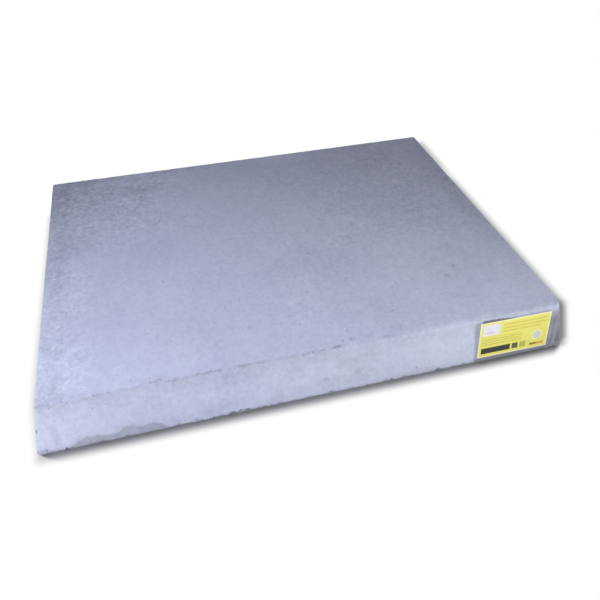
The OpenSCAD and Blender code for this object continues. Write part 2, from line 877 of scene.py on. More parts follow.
@dataclass(frozen=True)
class RoundArea:
    """A round part of the top where blotches show more: its middle, its reach and the gain."""

    middle: Point
    outer: float
    inner: float
    gain: float


BLOTCHY_AREAS = (
    RoundArea((-0.37, 0.27, 0.0), 0.27, 0.10, 1.2),
    RoundArea((0.34, 0.13, 0.0), 0.36, 0.10, 0.57),
    RoundArea((0.12, -0.17, 0.0), 0.30, 0.10, 0.12),
)


@dataclass(frozen=True)
class ShadeArea:
    """A soft oval on the top that is darker, or lighter if its depth is below zero."""

    middle: Point
    half_width: float
    half_depth: float
    depth: float


SHADE_AREAS = (
    ShadeArea((-0.470, 0.330, 0.0), 0.200, 0.260, 0.27),
    ShadeArea((-0.462, 0.050, 0.0), 0.048, 0.280, 0.13),
    ShadeArea((-0.480, -0.350, 0.0), 0.060, 0.100, 0.09),
    ShadeArea((0.472, 0.020, 0.0), 0.050, 0.500, 0.11),
    ShadeArea((0.450, -0.350, 0.0), 0.090, 0.120, 0.06),
    ShadeArea((0.130, 0.372, 0.0), 0.260, 0.036, -0.13),
    ShadeArea((-0.270, 0.280, 0.0), 0.080, 0.060, 0.09),
    ShadeArea((-0.385, 0.365, 0.0), 0.110, 0.055, 0.17),
    ShadeArea((-0.190, 0.365, 0.0), 0.080, 0.050, 0.12),
    ShadeArea((0.090, 0.355, 0.0), 0.170, 0.060, -0.10),
    ShadeArea((-0.415, 0.090, 0.0), 0.090, 0.080, 0.11),
    ShadeArea((0.330, 0.250, 0.0), 0.130, 0.100, 0.06),
)


# ---------------------------------------------------------------------------------------------
# Finishes
# ---------------------------------------------------------------------------------------------


@dataclass(frozen=True)
class LabelPlace:
    """Where the label lies on the front face, and how large it is."""

    across: float
    up: float
    width: float = 152 * MM
    height: float = 80 * MM
    thickness: float = 0.3 * MM
    turn: float = math.radians(-0.6)

    @classmethod
    def from_frame(cls, shape: SlabShape) -> "LabelPlace":
        """Reads the label's middle from its frame node.

        Args:
            shape: the slab it lies on.

        Returns:
            The label's place.
        """
        low, high = (Vector(corner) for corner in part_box("label"))
        middle = (low + high) / 2
        foot = shape.on_front(0.0, 0.0)
        slope = Vector((0.0, math.sin(shape.draft), math.cos(shape.draft)))
        return cls(across=middle.x, up=(middle - foot).dot(slope))

    def on_slab(self, shape: SlabShape, u: float, v: float, out: float) -> Vector:
        """A point of the label.

        Args:
            shape: the slab it lies on.
            u: distance from its left edge.
            v: distance from its bottom edge.
            out: distance out from the face.

        Returns:
            The point.
        """
        du, dv = u - self.width / 2, v - self.height / 2
        across = self.across + du * math.cos(self.turn) - dv * math.sin(self.turn)
        up = self.up + du * math.sin(self.turn) + dv * math.cos(self.turn)
        return shape.on_front(across, up, out)


class Spot:
    """A point of the slab's surface as a node tree reads it, and where it lies on the slab."""

    def __init__(self, graph: Graph, place: Value, shape: SlabShape) -> None:
        """Works out the point's distances from the faces, and on which face it lies.

        Args:
            graph: the tree.
            place: the point's place in the slab's frame.
            shape: the slab.
        """
        self.graph = graph
        self.place = place
        self.x, self.y, self.z = graph.split(place)
        self.flat = graph.combine(self.x, self.y, 0.0)
        self.across = self.x / MM
        self.up = self.z / (MM * math.cos(shape.draft))
        self.slope_down = shape.height / (MM * math.cos(shape.draft)) - self.up
        lean = self.z * -math.tan(shape.draft)
        self.in_front = self.y + lean + shape.half_depth
        self.in_back = shape.half_depth - self.y + lean
        self.in_left = self.x + shape.half_width + lean
        self.in_ends = shape.half_width - abs(self.x) + lean
        self.down = shape.height - self.z
        self.top = self.z.step(shape.height - 8 * MM, shape.height - 1.5 * MM)
        self.side = 1.0 - self.top
        self.front = self.in_front.step(12 * MM, 7 * MM)

    def noise(self, scale: float, seed: float, **layers: float) -> Value:
        """Smooth noise at the point itself."""
        return self.graph.noise(self.place, scale, seed, **layers)

    def drawn_noise(self, across: float, deep: float, high: float, seed: float, **layers: float) -> Value:
        """Smooth noise with its own waves in a metre each way."""
        drawn = self.graph.combine(self.x * across, self.y * deep, self.z * high)
        return self.graph.noise(drawn, 1.0, seed, **layers)


@dataclass(frozen=True)
class PaintedLabelShadow:
    """Painted shadow round the label, in millimetres: a dark strip along its top edge, thickest above its
    left half, and shade beside it, below it and over the face's right end.
    """

    label: LabelPlace
    jagged: float = 7.0
    strip_amount: float = 0.94
    strip_height: Range = (96.0, 26.0, -0.3, 5.6)
    strip_start: Range = (1.0, 5.0)
    strip_end: Range = (96.0, 78.0)
    strip_foot: Range = (-3.0, -1.0)
    left_lean: Range = (-40.0, 40.0, -6.0, -12.0)
    left_amount: float = 0.50
    left_top: Range = (5.0, -6.0)
    foot_amount: float = 0.76
    foot_edge: Range = (-35.0, -42.0)
    head_amount: float = 0.46
    head_edge: Range = (5.0, 2.0)
    head_end: Range = (154.0, 146.0)
    right_edge: Range = (148.0, 154.0)
    right_end_shade: Range = (12.0, -26.0, 0.02, 0.74)
    right_lower: Range = (-4.0, -40.0, 0.0, 0.13)
    right_foot: Range = (2.0, 16.0, 0.80, 1.0)
    run_amount: float = 0.75
    run_start: Range = (6.0, -10.0)
    runs: Pair = (0.16, 0.02)

    def amount(self, at: Spot, ragged: Value) -> Value:
        """How much painted shadow there is.

        Args:
            at: the point.
            ragged: noise that roughens its edge.

        Returns:
            The amount, from 0 to 1.
        """
        label = self.label
        cos, sin = math.cos(label.turn), math.sin(label.turn)
        du, dv = at.across - label.across / MM, at.up - label.up / MM
        turned_v = dv * cos - du * sin
        left = du * cos + dv * sin + label.width / (2 * MM)
        over = turned_v - label.height / (2 * MM)
        jag = ragged * self.jagged

        thick = left.step(*self.strip_height)
        rim = (over + jag).step(thick + 1.2, thick - 0.8)
        span = left.step(*self.strip_start) * left.step(*self.strip_end) * over.step(*self.strip_foot)
        strip = rim * span * self.strip_amount

        lean = turned_v.step(*self.left_lean)
        wide = (left + jag).step(lean - 4.0, lean + 4.0)
        beside = wide * over.step(*self.left_top) * self.left_amount
        below = turned_v.step(*self.foot_edge) * wide * self.foot_amount
        above = wide * over.step(*self.head_edge) * left.step(*self.head_end) * self.head_amount

        # Painted shade over the face's right end, darker towards the foot, with streaks.
        drawn = at.graph.combine(at.across * self.runs[0], 0.0, at.up * self.runs[1])
        runs = (at.graph.noise(drawn, 1.0, seed=39.0) - 0.5) * over.step(*self.run_start) * self.run_amount
        right = over.step(*self.right_end_shade) + turned_v.step(*self.right_lower) + runs
        right = (left + jag).step(*self.right_edge) * right * at.up.step(*self.right_foot)
        return largest(strip, beside, right, below, above)


@dataclass(frozen=True)
class TopRim:
    """The top edge, darker along it and a little more so on the left half of the front: partly dirt, partly
    painted shade over the round that takes off the lamps' highlight, with a painted highlight just under the
    front edge.
    """

    rim_left: float = 0.09
    rim_right: float = 0.08
    # Painted highlight: a light band just under the front edge.
    rim_painted_highlight: float = 0.055
    roll_shade: float = 0.125
    rim_other: float = 0.05
    rim_soft: float = 0.05
    rim_down: float = 0.5 * MM
    roll_down: float = 1 * MM
    highlight_down: float = 8 * MM
    rim_change: Pair = (0.16, -0.06)
    rim_front: Range = (9 * MM, 4 * MM)
    rim_gaps: Range = (0.38, 0.62, 0.45, 1.3)
    rim_line: Range = (4.5 * MM, 0.5 * MM)
    rim_band: Range = (7 * MM, 2.5 * MM)
    rim_haze: Range = (22 * MM, 2 * MM)
    roll_band: Range = (7 * MM, 0.5 * MM)
    highlight_left: Range = (-0.10, 0.15, 0.3, 1.0)
    highlight_right: Range = (0.38, 0.28)
    highlight_end: Range = (0.45, 0.475)
    highlight_band: Range = (5 * MM, 0.5 * MM)

    def tone(self, at: Spot) -> Value:
        """The dirt, painted shade and painted highlight along the top edge.

        Args:
            at: the point.

        Returns:
            What it adds to the tone.
        """
        below = at.down - at.in_front
        at_front = smallest(at.in_front, at.down).step(*self.rim_front)
        uneven = at.graph.noise(at.flat, 55.0, seed=35.0).step(*self.rim_gaps)
        leftward = at.x.step(*self.rim_change, self.rim_right, self.rim_left)
        # Painted shade along the front edge, partly a dark line of dirt, that takes off the lamps'
        # highlight.
        front = abs(below - self.rim_down).step(*self.rim_line) * leftward * uneven * at_front
        other = (smallest(at.in_ends, at.in_back) + at.down).step(*self.rim_band)
        wide = (at.in_front + at.down).step(*self.rim_haze)
        # Painted shade over the round of the front edge, that takes off its highlight.
        rolled = abs(below - self.roll_down).step(*self.roll_band) * at_front * self.roll_shade
        # The sum holds the edge's dirt and its painted shade.
        worn = largest(front, other * self.rim_other) + wide * self.rim_soft + rolled
        # Painted highlight under the front edge, towards the right and at the right end.
        lit = smallest(at.x.step(*self.highlight_left), at.x.step(*self.highlight_right))
        lit = largest(lit, at.x.step(*self.highlight_end))
        painted_highlight = abs(below - self.highlight_down).step(*self.highlight_band) * lit * at_front * self.rim_painted_highlight
        return painted_highlight - worn


@dataclass(frozen=True)
class DampPatch:
    """The low damp patch at the left of the front face, with a darker tide line along its top."""

    damp_inside: float = 0.32
    damp_rim: float = 0.08
    ragged_by: float = 9.0
    frayed_by: float = 14.0
    tide_down: float = 4.0
    tide_band: Range = (8.0, 0.5)
    damp_patches: Range = (0.36, 0.62, 0.35, 1.0)
    damp_edge: Range = (-3.5, 4.0)

    def amount(self, at: Spot, ragged: Value) -> Value:
        """How dark the patch is, inside its outline.

        Args:
            at: the point.
            ragged: noise that roughens its outline.

        Returns:
            How dark it is.
        """
        outline = sum(at.across.step(rise.start, rise.end, 0.0, rise.height) for rise in DAMP_OUTLINE)
        frayed = at.noise(48.0, seed=36.0, detail=4.0, rough=0.75) - 0.5
        under = outline + (ragged * self.ragged_by + frayed * self.frayed_by) - at.up
        tide = abs(under - self.tide_down).step(*self.tide_band)
        patchy = at.noise(95.0, seed=37.0).step(*self.damp_patches)
        return under.step(*self.damp_edge) * (self.damp_inside + tide * patchy * self.damp_rim)


@dataclass(frozen=True)
class EdgeDirt:
    """The broken dark line along the front of the top edge."""

    line_width: float = 5.0
    waver: float = 12.0
    end_soft: float = 6.0
    line_gaps: Range = (0.40, 0.58, 0.15, 1.0)
    crumb_amount: float = 0.30
    crumb_down: float = 2.0
    crumb_band: Range = (12.0, 2.0)
    crumb_sizes: Range = (0.58, 0.70)
    crumb_end: Range = (80.0, -40.0)

    def amount(self, at: Spot) -> Value:
        """How dark the line and the crumbs beside it are.

        Args:
            at: the point.

        Returns:
            How dark it is.
        """
        strayed = at.slope_down - at.in_front / MM + (at.noise(70.0, seed=13.0) - 0.5) * self.waver
        marks = []
        for line in EDGE_LINES:
            band = abs(strayed - line.down).step(self.line_width, 0.5)
            starting = at.across.step(line.start - self.end_soft, line.start + self.end_soft)
            ending = at.across.step(line.end + self.end_soft, line.end - self.end_soft)
            marks.append(band * starting * ending * line.depth)
        broken = at.noise(210.0, seed=14.0, rough=0.65).step(*self.line_gaps)
        near = abs(strayed - self.crumb_down).step(*self.crumb_band)
        crumbs = at.noise(420.0, seed=15.0, detail=2.0).step(*self.crumb_sizes)
        crumbs = crumbs * near * at.across.step(*self.crumb_end) * self.crumb_amount
        return largest(largest(*marks) * broken, crumbs)


@dataclass(frozen=True)
class Specks:
    """Fine dark specks, thick in some patches and missing in others."""

    speck_amount: float = 0.50
    speck_sizes: Range = (0.74, 1.0, 0.0, 0.24)
    speck_edge: Range = (-0.10, 0.08)
    speck_patches: Range = (0.40, 0.66, 0.25, 1.0)
    speck_faces: Range = (0.0, 1.0, 0.45, 1.0)

    def amount(self, at: Spot) -> Value:
        """How dark the specks are.

        Args:
            at: the point.

        Returns:
            How dark they are.
        """
        distance, lone = at.graph.cells(at.place, 150.0, seed=17.0)
        spot = (lone.step(*self.speck_sizes) - distance).step(*self.speck_edge)
        patch = at.noise(7.0, seed=18.0, detail=2.0, rough=0.5).step(*self.speck_patches)
        return spot * patch * at.top.step(*self.speck_faces) * self.speck_amount


@dataclass(frozen=True)
class RubbedStreaks:
    """Short dark rubs from side to side on the top's back left corner."""

    rub_middle: Point = (-0.31, 0.29, 0.0)
    rub_amount: float = 0.26
    rub_reach: Range = (0.17, 0.05)
    rub_marks: Range = (0.54, 0.72)

    def amount(self, at: Spot) -> Value:
        """How dark the rubs are.

        Args:
            at: the point.

        Returns:
            How dark they are.
        """
        near = (at.flat - self.rub_middle).length().step(*self.rub_reach)
        rub = at.drawn_noise(34.0, 95.0, 1.0, seed=28.0).step(*self.rub_marks)
        return rub * near * at.top * self.rub_amount


@dataclass(frozen=True)
class FootSoil:
    """Soil along the lowest few millimetres of the sides, in wisps, and over the underside."""

    soil_height: float = 1.6 * MM
    soil_rise: float = 2.2 * MM
    wisp_height: float = 5 * MM
    foot_amount: float = 0.67
    foot_rise: Range = (0.42, 0.66)
    foot_wisps: Range = (0.44, 0.66)
    chip_amount: float = 0.84
    chip_sizes: Range = (0.50, 0.60)
    chip_clusters: Range = (0.42, 0.58, 0.1, 1.0)
    chip_height: Range = (6 * MM, 2 * MM)

    def amount(self, at: Spot) -> Value:
        """How dark the soil and the chips in it are.

        Args:
            at: the point.

        Returns:
            How dark it is.
        """
        graph = at.graph
        stretched = graph.combine(at.x, at.y, at.z * 0.3)
        broad = graph.noise(stretched, 60.0, seed=19.0).step(*self.foot_rise)
        wisp = graph.noise(stretched, 300.0, seed=29.0, rough=0.65).step(*self.foot_wisps)
        height = self.soil_height + broad * self.soil_rise + broad * wisp * self.wisp_height
        soil = (at.z / height).step(1.0, 0.25, 0.0, self.foot_amount)
        chip = graph.noise(stretched, 170.0, seed=38.0, rough=0.7).step(*self.chip_sizes)
        clustered = graph.noise(stretched, 17.0, seed=43.0, detail=2.0).step(*self.chip_clusters)
        return largest(soil, chip * clustered * at.z.step(*self.chip_height) * self.chip_amount)


@dataclass(frozen=True)
class ConcreteFinish:
    """Steel-trowelled grey concrete with a blue cast, a little dirty, with painted light and shade in its
    colour.
    """

    shape: SlabShape
    label_shadow: PaintedLabelShadow
    rim: TopRim = TopRim()
    damp: DampPatch = DampPatch()
    edge: EdgeDirt = EdgeDirt()
    specks: Specks = Specks()
    rubs: RubbedStreaks = RubbedStreaks()
    foot: FootSoil = FootSoil()
    base: Colour = (0.453, 0.489, 0.672)
    base_right: Colour = (0.452, 0.484, 0.634)
    # Painted light: the sides are coloured a little lighter than the top, as if lit more, and a touch less
    # blue.
    side_painted_light: Colour = (1.05, 1.04, 1.00)
    side_painted_light_right: Colour = (1.06, 1.05, 0.99)
    dirt: Colour = (0.118, 0.120, 0.128)
    grit: Colour = (0.122, 0.130, 0.225)
    lime: Colour = (0.640, 0.672, 0.800)
    blue_grain: float = 0.72
    side_blotches: float = 0.90
    top_blotches: float = 0.82
    left_blotches: float = 1.00
    trowel_streaks: float = 0.09
    side_washes: float = 0.14
    wash_patterns: tuple[Pair, ...] = ((130.0, 6.0), (38.0, 27.0))
    fleck_amount: float = 0.17
    fleck_warp: float = 9 * MM
    left_strip: Pair = (-0.36, -0.46)
    blotch_drift: float = 0.25
    ragged_gain: float = 0.75
    stain_raggedness: float = 2.2
    stain_edge: Pair = (1.15, 0.60)
    label_shadow_stray: float = 24 * MM
    # Painted shade in the holes, stronger on the sides.
    hole_shade: float = 0.26
    side_hole_shade: float = 0.68
    most_soil: float = 0.95
    roughness: float = 0.86
    gloss: float = 0.22
    right_end: Range = (-0.35, 0.40)
    # Painted shade: the top darker towards the back right, where the lamps light it less.
    far_painted_shade: Range = (-0.05, 0.50, 0.02, -0.11)
    # Painted shade: the sides darker towards the top.
    upper_from: float = 0.35
    upper_painted_shade: float = 0.12
    fleck_width: Range = (0.045, 0.008)
    fleck_patches: Range = (0.38, 0.60)
    fleck_fade: Range = (-0.30, 0.0, 0.45, 1.0)
    label_shadow_reach: Range = (30 * MM, 3 * MM)

    def material(self) -> bpy.types.Material:
        """Builds the material.

        Returns:
            The finished concrete.
        """
        made, graph = new_material("concrete")
        at = Spot(graph, graph.read("ShaderNodeTexCoord", "Object"), self.shape)
        rightward = at.x.step(*self.right_end)
        # Painted light: the sides lighter than the top.
        side_painted_light = graph.mix(rightward, self.side_painted_light, self.side_painted_light_right)
        cast = graph.mix(at.top, side_painted_light, (1.0, 1.0, 1.0))
        broad, fine = self.shade(at), self.grain(at)
        grey = 1.0 + broad + fine
        tone = graph.combine(grey, grey, 1.0 + broad + fine * self.blue_grain)
        colour = graph.mix(rightward, self.base, self.base_right) * cast * tone
        colour = self.light_flecks(at, colour)
        soil, grit = self.dirt_and_shade_amounts(at)
        colour = graph.mix(grit, colour, self.grit)
        # The dirt colour also paints the shade round the label and in the holes.
        colour = graph.mix(soil, colour, self.dirt)
        graph.surface(colour, self.rough(at, largest(soil, grit)), self.relief(at), self.gloss)
        return made

    # Colour

    def grain(self, at: Spot) -> Value:
        """The concrete's mottling, trowel streaks and washes.

        Args:
            at: the point.

        Returns:
            What they add to the tone, about zero.
        """
        patchy = self.blotchy(at) * at.top + at.side * self.side_blotches
        parts = []
        for wave in WAVES:
            layer = at.noise(wave.scale, wave.seed, detail=wave.detail, rough=wave.rough)
            parts.append((layer - 0.5) * (2.0 * wave.size) * (patchy if wave.patchy else 1.0))
        parts.append((at.drawn_noise(240.0, 7.0, 1.0, seed=5.0) - 0.5) * at.top * self.trowel_streaks)
        for across, seed in self.wash_patterns:
            wash = at.drawn_noise(across, 1.0, 9.0, seed=seed)
            parts.append((wash - 0.5) * at.side * self.side_washes)
        return sum(parts)

    def shade(self, at: Spot) -> Value:
        """The broad lighter and darker parts of the slab, painted shade and highlight among them.

        Args:
            at: the point.

        Returns:
            What they add to the tone, about zero.
        """
        height = self.shape.height
        # Painted shade on the top, darker towards the back right.
        far = (at.x * 0.7 + at.y).step(*self.far_painted_shade)
        # Painted shade on the sides, darker towards the top.
        upper = at.z.step(self.upper_from * height, height, 0.0, -self.upper_painted_shade)
        parts = [far * at.top, upper * at.side, self.rim.tone(at)]
        for area in SHADE_AREAS:
            away = (at.flat - area.middle) * (1 / area.half_width, 1 / area.half_depth, 0.0)
            parts.append(away.length().step(0.0, 1.0, -area.depth, 0.0) * at.top)
        return sum(parts)

    def blotchy(self, at: Spot) -> Value:
        """How blotchy the trowelled top is: most at the back left and along the left edge.

        Args:
            at: the point.

        Returns:
            A factor on the size of the blotches.
        """
        drift = at.graph.noise(at.flat, 4.0, seed=10.0, detail=2.0, rough=0.5) - 0.5
        drift *= self.blotch_drift
        gains = [(at.x + drift).step(*self.left_strip, 0.0, self.left_blotches)]
        for area in BLOTCHY_AREAS:
            away = (at.flat - area.middle).length()
            gains.append((away + drift).step(area.outer, area.inner, 0.0, area.gain))
        return self.top_blotches + largest(*gains)

    def light_flecks(self, at: Spot, colour: Value) -> Value:
        """Adds pale ragged flecks where the top is blotchy.

        Args:
            at: the point.
            colour: the colour under them.

        Returns:
            The colour with flecks.
        """
        warped = at.place + at.graph.shake(at.place, 120.0, seed=7.0) * self.fleck_warp
        ridge = abs(at.graph.noise(warped, 62.0, seed=8.0, detail=2.0, rough=0.5) - 0.5)
        patch = at.noise(11.0, seed=9.0).step(*self.fleck_patches)
        amount = ridge.step(*self.fleck_width) * patch * self.blotchy(at) * at.top * self.fleck_amount
        return at.graph.mix(amount * at.y.step(*self.fleck_fade), colour, self.lime)

    # Dirt

    def dirt_and_shade_amounts(self, at: Spot) -> tuple[Value, Value]:
        """All the dirt on the slab, with the painted shade that shares its colour.

        Args:
            at: the point.

        Returns:
            How much dirt and painted shade cover the concrete, from 0 to 1, and how much fine grit.
        """
        ragged = at.noise(130.0, seed=11.0, detail=4.0, rough=0.65)
        ragged = (ragged + at.noise(330.0, seed=42.0, detail=2.0) - 1.0) * self.ragged_gain
        stains = self.stains(Side.FRONT, at.across, at.up, ragged)
        drawn = at.front * largest(stains, self.damp.amount(at, ragged), self.edge.amount(at))
        # Painted shadow round the label.
        strayed = at.in_front + ragged * self.label_shadow_stray
        painted_label_shadow = self.label_shadow.amount(at, ragged) * strayed.step(*self.label_shadow_reach)
        smudges = self.stains(Side.TOP, at.across, at.y / MM, ragged) * at.top
        # soil holds dirt and the painted shade round the label and in the holes.
        soil = largest(drawn, painted_label_shadow, smudges, self.foot.amount(at), self.hole_painted_shade(at))
        return smallest(soil, self.most_soil), largest(self.specks.amount(at), self.rubs.amount(at))

    def stains(self, side: Side, across: Value, up: Value, ragged: Value) -> Value:
        """The smudges on one face.

        Args:
            side: the face.
            across: the point's place from left to right, in millimetres.
            up: its place up the slope or towards the back, in millimetres.
            ragged: noise that roughens their edges.

        Returns:
            How dark they are.
        """
        marks = []
        for stain in STAINS[side]:
            du = (across - stain.across) / stain.half_width
            dv = (up - stain.up) / stain.half_height
            reach = across.graph.math("SQRT", du * du + dv * dv)
            reach += ragged * (stain.ragged * self.stain_raggedness)
            marks.append(reach.step(*self.stain_edge, 0.0, stain.depth))
        return largest(*marks)

    def hole_painted_shade(self, at: Spot) -> Value:
        """Painted shade in the holes, darker on the sides."""
        inside = at.graph.node("ShaderNodeAttribute", attribute_name="hole").outputs["Fac"]
        return at.top.step(0.0, 1.0, self.side_hole_shade, self.hole_shade) * inside

    # Surface

    def rough(self, at: Spot, dirt: Value) -> Value:
        """How rough the concrete is, which dirt and painted shade add to."""
        wear = (at.noise(14.0, seed=21.0) - 0.5) * 0.16
        return smallest(self.roughness + wear + dirt * 0.1, 1.0)

    def relief(self, at: Spot) -> Value:
        """The relief too fine for the mesh: sand, trowel marks and laitance.

        Args:
            at: the point.

        Returns:
            The bumped normal.
        """
        sweep = at.drawn_noise(300.0, 12.0, 1.0, seed=23.0) * at.top
        coarse = at.noise(150.0, seed=24.0) + sweep * 0.4
        under = at.graph.bump(coarse, 0.35 * MM, 0.55)
        return at.graph.bump(at.noise(900.0, seed=25.0, rough=0.7), 0.18 * MM, 0.6, under)


class Ink(Enum):
    """The colours of the print."""

    FIELD = (0.660, 0.628, 0.140)
    BORDER = (0.720, 0.700, 0.420)
    BLACK = (0.026, 0.025, 0.024)
    PALE = (0.520, 0.535, 0.480)
    OLIVE = (0.360, 0.335, 0.070)
    AMBER = (0.470, 0.370, 0.070)
    WHITE = (0.640, 0.640, 0.720)
    BROWN = (0.250, 0.130, 0.022)
    RUST = (0.480, 0.180, 0.040)


@dataclass(frozen=True)
class PrintBar:
    """A plain printed block, in millimetres from the lower left."""

    ink: Ink
    left: float
    right: float
    low: float
    high: float
    amount: float = 1.0


@dataclass(frozen=True)
class PrintRules:
    """A block of thin level rules with uneven right-hand ends, in millimetres from the lower left."""

    ink: Ink
    left: float
    right: float
    low: float
    high: float
    pitch: float
    thick: float
    amount: float


@dataclass(frozen=True)
class PrintDisc:
    """A printed disc, in millimetres from the lower left."""

    ink: Ink
    across: float
    up: float
    radius: float


RULES = (
    PrintRules(Ink.AMBER, 50, 146, 50, 74, 7.6, 4.2, 0.50),
    PrintRules(Ink.OLIVE, 7, 104, 26, 45, 5.5, 2.4, 0.60),
)
DISCS = (
    PrintDisc(Ink.BORDER, 127, 31, 11.4),
    PrintDisc(Ink.PALE, 127, 31, 9.4),
)
BARS = (
    PrintBar(Ink.WHITE, 7, 43, 50, 74),
    PrintBar(Ink.PALE, 11, 31, 54, 57.5),
    PrintBar(Ink.BLACK, 7, 70, 8, 21),
    PrintBar(Ink.BLACK, 74, 87, 8, 21, amount=0.9),
    PrintBar(Ink.BLACK, 91, 104, 8, 21, amount=0.42),
    PrintBar(Ink.BROWN, 113, 129, 8, 12.5),
    PrintBar(Ink.RUST, 129, 144, 8, 12.5, amount=0.8),
)


@dataclass(frozen=True)
class LabelFinish:
    """Yellow printed paper with plain blocks, thin rules, a pale disc and an empty white box."""

    place: LabelPlace
    border_width: float = 3.0
    soft: float = 0.25
    patchiness: float = 0.10
    scuffing: float = 0.35
    uneven_ends: float = 0.18
    roughness: float = 0.46
    gloss: float = 0.4

    def material(self) -> bpy.types.Material:
        """Builds the material.

        Returns:
            The finished print.
        """
        made, graph = new_material("printed_label")
        place = graph.read("ShaderNodeTexCoord", "Object")
        width, height = self.place.width / MM, self.place.height / MM
        sheet = graph.node("ShaderNodeUVMap", uv_map="sheet").outputs[0]
        across, up, _ = graph.split(Value(graph, sheet))
        u, v = across * width, up * height
        edge = self.border_width
        inner = self.bar(u, v, PrintBar(Ink.FIELD, edge, width - edge, edge, height - edge))
        colour = graph.mix(inner, Ink.BORDER.value, Ink.FIELD.value)
        for printed, marks in ((self.rules, RULES), (self.disc, DISCS), (self.bar, BARS)):
            for mark in marks:
                colour = graph.mix(printed(u, v, mark), colour, mark.ink.value)
        mottled = graph.noise(place, 60.0, seed=31.0) - 0.5
        colour *= u.step(0.6 * width, width, 1.0, 0.93) * (1.0 + mottled * (2 * self.patchiness))
        scuff = graph.noise(place, 420.0, seed=32.0, rough=0.75).step(0.64, 0.74, 0.0, self.scuffing)
        colour = graph.mix(scuff, colour, Ink.BORDER.value)
        ripple = graph.noise(place, 55.0, seed=33.0, detail=2.0, rough=0.5)
        graph.surface(colour, self.roughness + mottled * 0.2, graph.bump(ripple, 0.5 * MM, 0.3), self.gloss)
        return made

    def between(self, value: Value, low: float, high: float) -> Value:
        """1 between two limits, with slightly soft ends."""
        rising = value.step(low - self.soft, low + self.soft)
        return rising * value.step(high + self.soft, high - self.soft)

    def bar(self, u: Value, v: Value, bar: PrintBar) -> Value:
        """How much ink a printed block leaves at a place, in millimetres across and up the label."""
        return self.between(u, bar.left, bar.right) * self.between(v, bar.low, bar.high) * bar.amount

    def disc(self, u: Value, v: Value, disc: PrintDisc) -> Value:
        """1 inside a printed disc."""
        away = u.graph.combine(u - disc.across, v - disc.up, 0.0).length()
        return away.step(disc.radius + self.soft, disc.radius - self.soft)

    def rules(self, u: Value, v: Value, rules: PrintRules) -> Value:
        """How much ink a block of rules leaves.

        Args:
            u: the point's place across the label, in millimetres.
            v: its place up the label, in millimetres.
            rules: the block they fill, and how they are spaced.

        Returns:
            The amount, from 0 to 1.
        """
        graph = u.graph
        row = (v - rules.low) / rules.pitch
        share = graph.math("FRACT", row) * rules.pitch
        line = self.between(share, (rules.pitch - rules.thick) / 2, (rules.pitch + rules.thick) / 2)
        number = graph.math("FLOOR", row) + rules.left
        chance = graph.apply("ShaderNodeTexWhiteNoise", number, noise_dimensions="1D")
        short = chance * ((rules.right - rules.left) * self.uneven_ends)
        ending = (u + short).step(rules.right + self.soft, rules.right - self.soft)
        block = self.between(u, rules.left, rules.right) * self.between(v, rules.low, rules.high)
        return line * ending * block * rules.amount


# ---------------------------------------------------------------------------------------------
# Pieces
# ---------------------------------------------------------------------------------------------


